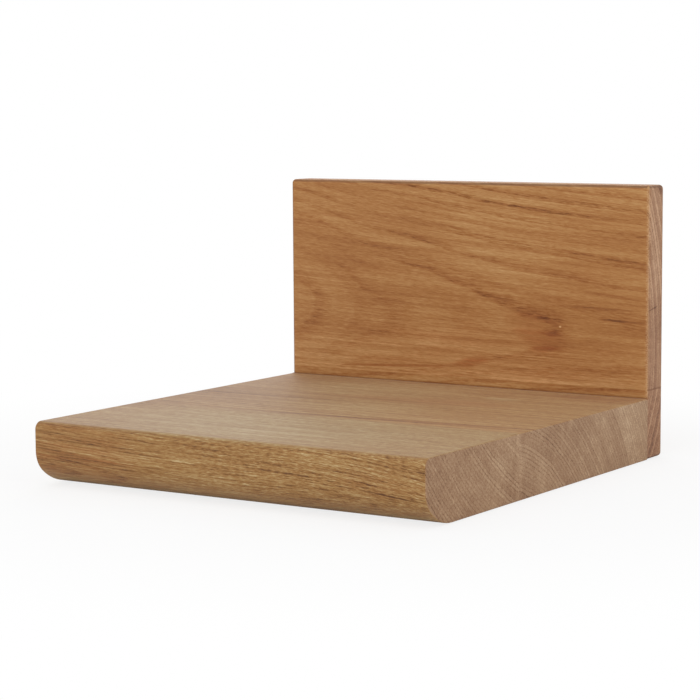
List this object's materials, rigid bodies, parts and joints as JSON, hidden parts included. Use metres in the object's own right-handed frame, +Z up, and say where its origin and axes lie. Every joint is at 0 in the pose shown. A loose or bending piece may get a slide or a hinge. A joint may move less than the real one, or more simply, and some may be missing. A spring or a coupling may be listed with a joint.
{
  "type": "wall shelf",
  "caption": "Thick solid-oak wall shelf with a rounded front edge, butted against an upright back board that hangs on keyhole plates let into its rear face.",
  "frame": {"origin": "on the wall plane, midway between the round entries of the two keyholes that the shelf hangs on", "axes": "+Z up, +Y into the wall, so that the front of the shelf faces -Y, and +X to the right as seen from the front"},
  "size_m": [0.25, 0.272, 0.16],
  "materials": {
    "oak": "oiled, satin",
    "beech": "raw, planed",
    "yellow_zinc": "yellow zinc plated",
    "zinc_plate": "zinc plated, stamped",
    "zinc_screw": "zinc plated"
  },
  "bodies": {
    "root": {"shelf_front_stave": "oak", "shelf_rear_stave": "oak", "back_upper_stave": "oak", "back_lower_stave": "oak", "joint_dowel_1": "beech", "joint_dowel_2": "beech", "joint_dowel_3": "beech", "joint_dowel_4": "beech", "joint_screw_1": "yellow_zinc", "joint_screw_2": "yellow_zinc", "joint_screw_3": "yellow_zinc", "hanger_plate_left": "zinc_plate", "hanger_plate_right": "zinc_plate", "hanger_screw_left_upper": "zinc_screw", "hanger_screw_left_lower": "zinc_screw", "hanger_screw_right_upper": "zinc_screw", "hanger_screw_right_lower": "zinc_screw"}
  },
  "joints": []
}
